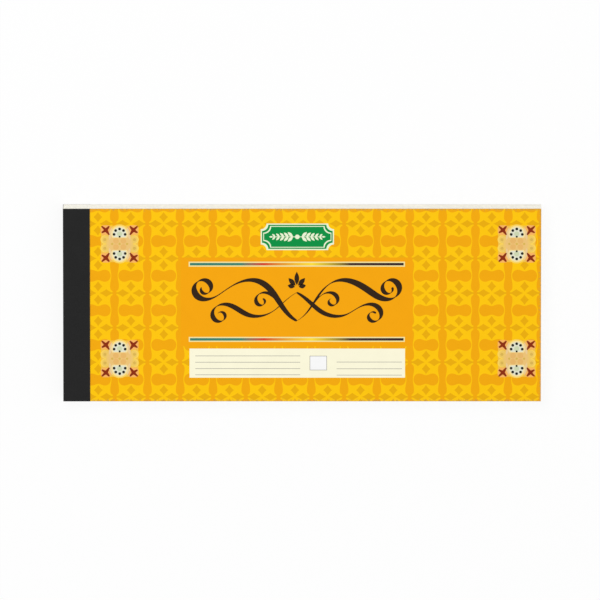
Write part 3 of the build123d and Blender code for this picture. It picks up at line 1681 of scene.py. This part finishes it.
@dataclass(frozen=True)
class CornerTile:
    """Square ornament near a corner of the cover. Its parts are sized as shares of its side."""

    centre: Point
    side: float = 21.6
    base_size: Point = (0.95, 0.95)
    base_bite: float = 0.05
    ground_radii: Point = (0.34, 0.29)
    cross_place: Point = (0.352, 0.362)
    cross_tips: tuple[Point, ...] = ((0.106, 0.1), (-0.088, 0.1), (-0.088, -0.124), (0.104, -0.068))
    cross_tip: float = 0.016
    cross_heart: float = 0.05
    patch_size: Point = (0.26, 0.25)
    patch_bite: float = 0.045
    fan_offset: float = 0.262
    fan_radii: tuple[float, ...] = (0.248, 0.212, 0.17)
    fan_dip: float = 0.5
    fan_steps: int = 20
    fan_heart: float = 0.066
    flank_root: Point = (0.264, 0.1)
    flank_size: Point = (0.345, 0.09)
    flank_turn: float = 102.0
    dot_offset: float = 0.25
    dot_turns: tuple[float, ...] = (0.0, 0.25, 0.5, 0.75, 1.0)
    dot_reach: float = 0.142
    dot_radius: float = 0.036
    root_dot: float = 0.19
    root_dot_radius: float = 0.026
    lobe_place: Point = (0.378, 0.113)
    lobe_radius: float = 0.1125
    core_place: Point = (0.35, 0.113)
    core_radius: float = 0.1
    blush_place: Point = (0.095, 0.08)
    blush_radius: float = 0.072
    speck_radius: float = 0.036
    middle_speck: float = 0.028
    speck_spread: float = 0.19

    def layers(self) -> Layers:
        """Finish and outlines of each ink, from the lowest up."""
        return [(ink, [self._on_cover(outline) for outline in outlines]) for ink, outlines in self._inks()]

    def _on_cover(self, outline: Polygon) -> Polygon:
        """An outline given in shares of the side, placed on the cover."""
        return [(self.centre[0] + x * self.side, self.centre[1] + y * self.side) for x, y in outline]

    def _inks(self) -> Layers:
        """Inks of the tile in shares of its side.

        Returns:
            Finish and outlines of each ink, from the lowest up.
        """
        middle = (0.0, 0.0)
        base = Shapes.notched(middle, self.base_size, self.base_bite)
        rim, ground = (Shapes.disc(middle, radius) for radius in self.ground_radii)
        x, y = self.cross_place
        patches = [Shapes.notched((a * x, b * y), self.patch_size, self.patch_bite) for a, b in QUARTERS]
        halos, inner_halos, fans = ([self._fan(s, radius) for s in SIDES] for radius in self.fan_radii)
        hearts = [Shapes.disc((0.0, s * self.fan_offset), self.fan_heart) for s in SIDES]
        flank = Shapes.petal(self.flank_root, *self.flank_size, math.radians(self.flank_turn))
        specks = self._four(self.lobe_place, self.speck_radius)
        specks += [Shapes.disc((n * self.speck_spread, 0.0), self.middle_speck) for n in (-1, 0, 1)]
        return [
            (Palette.tile_base, [base]),
            (Palette.tile_gold, self._four(self.lobe_place, self.lobe_radius)),
            (Palette.tile_lobe, self._four(self.core_place, self.core_radius)),
            (Palette.tile_salmon, patches),
            (Palette.tile_gold, halos),
            (Palette.tile_rim, [rim]),
            (Palette.tile_ground, [ground]),
            (Palette.tile_flank, self._mirrored(flank)),
            (Palette.tile_pale, inner_halos),
            (Palette.tile_peach, self._four(self.blush_place, self.blush_radius)),
            (Palette.tile_fan, fans),
            (Palette.tile_fan_heart, hearts),
            (Palette.tile_speck, specks),
            (Palette.tile_charcoal, self._dots()),
            (Palette.tile_maroon, self._mirrored(self._cross())),
        ]

    @staticmethod
    def _four(place: Point, radius: float) -> list[Polygon]:
        """Round spots at one place and its mirror images."""
        return [Shapes.disc((a * place[0], b * place[1]), radius) for a, b in QUARTERS]

    @staticmethod
    def _mirrored(outline: Polygon) -> list[Polygon]:
        """An outline and its mirror images, all counterclockwise."""
        return [[(a * x, b * y) for x, y in outline[:: a * b]] for a, b in QUARTERS]

    def _fan(self, side: int, radius: float) -> Polygon:
        """Round fan with a straight base towards the middle.

        Args:
            side: 1 for the upper fan, -1 for the lower.
            radius: Radius of its rim.

        Returns:
            The outline.
        """
        sweep = math.pi + 2 * self.fan_dip
        turns = (sweep * n / self.fan_steps - self.fan_dip for n in range(self.fan_steps + 1))
        rim = ((radius * math.cos(turn), self.fan_offset + radius * math.sin(turn)) for turn in turns)
        return [(side * x, side * y) for x, y in rim]

    def _dots(self) -> list[Polygon]:
        """Arc of dots on each fan, with a small one at its root.

        Returns:
            The outlines.
        """
        dots = []
        for side in SIDES:
            for turn in self.dot_turns:
                x = self.dot_reach * math.cos(math.pi * turn)
                y = self.dot_offset + self.dot_reach * math.sin(math.pi * turn)
                dots.append(Shapes.disc((x, side * y), self.dot_radius))
            dots.append(Shapes.disc((0.0, side * self.root_dot), self.root_dot_radius))
        return dots

    def _cross(self) -> Polygon:
        """Slanted cross with four uneven arms, in the upper right corner.

        Returns:
            The outline.
        """
        centre_x, centre_y = self.cross_place
        outline = []
        turns = [math.atan2(y, x) for x, y in self.cross_tips]
        for (x, y), turn, following in zip(self.cross_tips, turns, turns[1:] + turns[:1]):
            for off in (-self.cross_tip, self.cross_tip):
                outline.append((x - off * math.sin(turn), y + off * math.cos(turn)))
            notch = turn + (following - turn) % math.tau / 2
            outline.append((self.cross_heart * math.cos(notch), self.cross_heart * math.sin(notch)))
        return [(centre_x + x, centre_y + y) for x, y in outline]


@dataclass
class CoverPrint:
    """Printed ornaments on the cover: bars, label, plaque, flourish and corner tiles."""

    film: float = 0.012 * MM
    bar_middles: tuple[float, ...] = (23.15, -19.4)
    tile_places: tuple[Point, ...] = ((-100.7, 34.6), (-100.8, -30.3), (118.5, 34.6), (118.6, -30.3))

    def build(self) -> None:
        """Print everything on the cover."""
        for number, middle in enumerate(self.bar_middles, start=1):
            self._print(f"colour_bar_{number}", ColourBar(middle).layers())
        self._print("blank_label", BlankLabel().layers())
        self._print("green_plaque", Plaque().layers())
        self._print("pen_flourish", Flourish().layers())
        for number, place in enumerate(self.tile_places, start=1):
            self._print(f"corner_tile_{number}", CornerTile(place).layers())

    def _print(self, name: str, layers: Layers) -> None:
        """Lay inks over each other as one piece that rides on the cover.

        Args:
            name: Name of the piece.
            layers: Finish and outlines of each ink, from the lowest up.
        """
        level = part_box("front_cover")[1].z
        maker = SheetMaker(name, [finish for finish, _ in layers])
        for slot, (_, outlines) in enumerate(layers):
            plan = [[(x * MM, y * MM) for x, y in outline] for outline in outlines]
            maker.add(plan, level, level + self.film * (slot + 1), (slot, slot, slot))
        piece = maker.piece()
        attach(piece, "cover_flap")
        LOG.info("%s is printed on the cover", name)


def shown_rays(graph: Graph) -> Flow:
    """1 for rays that show a background: from the camera, in a reflection or through glass."""
    rays = graph.flows("ShaderNodeLightPath")
    return rays["Is Camera Ray"].either(rays["Is Glossy Ray"]).either(rays["Is Transmission Ray"])


@dataclass(frozen=True)
class FloorFinish(Finish):
    """Plain pale studio floor, which is near white where it is seen and keeps a soft shadow."""

    roughness: float = 0.9
    specular: float = 0.1
    colour: Colour = (0.96, 0.96, 0.96, 1.0)
    mottle: float = 0.004
    white_share: float = 0.86

    def paint(self, graph: Graph, place: Flow) -> Inputs:
        """One pale colour with a trace of noise."""
        film = InkMottle().placed(graph, Place=place, Amount=self.mottle)
        return {"Base Color": graph.scaled(self.colour, film["Tone"])}

    def surface(self, graph: Graph, shader: Flow) -> Flow:
        """The lit floor, with white mixed in for the rays that show it."""
        white = graph.flow("ShaderNodeEmission", {"Color": WHITE_LIGHT, "Strength": 1.0})
        return graph.blended(shown_rays(graph) * self.white_share, shader, white)


@dataclass
class Studio:
    """Floor, soft light and the camera at the photograph's angle."""

    floor_half: float = 4.0
    floor_gap: float = 0.02 * MM
    sky_strength: float = 0.72
    lamp_place: Point = (-0.5, 0.9)
    lamp_height: float = 1.9
    lamp_size: float = 1.6
    lamp_watts: float = 15.5
    tilt: float = math.radians(12.5)
    lens_mm: float = 1200.0
    sensor_mm: float = 36.0
    frame_width: float = 331.4 * MM
    frame_pixels: float = 600.0
    cover_pixel: Point = (302.05, 305.2)

    def build(self) -> None:
        """Set up the floor, the light, the camera and the view."""
        self._floor()
        self._world()
        self._lamp()
        self._camera()
        bpy.context.scene.view_settings.view_transform = "Standard"
        LOG.info("studio is set up")

    def _floor(self) -> None:
        """Wide floor under the book."""
        half, level = self.floor_half, CAD_LOW.z - self.floor_gap
        mesh = bpy.data.meshes.new("studio_floor")
        corners = [(x, y, level) for x, y in Shapes.rectangle((-half, -half), (half, half))]
        mesh.from_pydata(corners, [], [[0, 1, 2, 3]])
        mesh.materials.append(FloorFinish("studio_floor").material())
        floor = placed_object("studio_floor", mesh)

    def _world(self) -> None:
        """Even sky, white where it is seen directly or in a reflection."""
        world = bpy.data.worlds.new("studio_sky")
        bpy.context.scene.world = world
        world.use_nodes = True
        world.node_tree.nodes.clear()
        graph = Graph(world.node_tree)
        lit, seen = (
            graph.flow("ShaderNodeBackground", {"Color": WHITE_LIGHT, "Strength": strength})
            for strength in (self.sky_strength, 1.0)
        )
        graph.node("ShaderNodeOutputWorld", {"Surface": graph.blended(shown_rays(graph), lit, seen)})

    def _lamp(self) -> None:
        """One large soft lamp above the far left of the book."""
        light = bpy.data.lights.new("soft_lamp", "AREA")
        light.energy = self.lamp_watts
        light.shape = "DISK"
        light.size = self.lamp_size
        lamp = placed_object("soft_lamp", light)
        lamp.location = (*self.lamp_place, self.lamp_height)
        lamp.rotation_euler = (-lamp.location).to_track_quat("-Z", "Y").to_euler()

    def _camera(self) -> None:
        """Long lens almost straight above, leaning to the upper edge of the page."""
        data = bpy.data.cameras.new("camera")
        data.lens = self.lens_mm
        data.sensor_width = self.sensor_mm
        camera = placed_object("camera", data)
        distance = self.frame_width * self.lens_mm / self.sensor_mm
        back = Vector((0, math.sin(self.tilt), math.cos(self.tilt)))
        up = Vector((0, math.cos(self.tilt), -math.sin(self.tilt)))
        right = Vector((1, 0, 0))
        pixel = self.frame_width / self.frame_pixels
        off_x = (self.cover_pixel[0] - self.frame_pixels / 2) * pixel
        off_y = (self.frame_pixels / 2 - self.cover_pixel[1]) * pixel
        target = Vector((0, 0, CAD_HIGH.z)) - right * off_x - up * off_y
        camera.location = target + back * distance
        camera.rotation_euler = (-self.tilt, 0, 0)
        bpy.context.scene.camera = camera


def main() -> None:
    """Build the book from its binding out, then the studio."""
    logging.basicConfig(level=logging.INFO, format="%(message)s")
    hinge = next(joint for joint in frame["joints"] if joint["name"] == "front_cover_hinge")
    fold = Fold(start=hinge["pos_m"][0], bound_edge=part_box("original_margins")[1].x)
    Binding().build()
    LeafStack(fold).build()
    FrontCover(fold).build()
    CoverPrint().build()
    Studio().build()


if __name__ == "__main__":
    main()
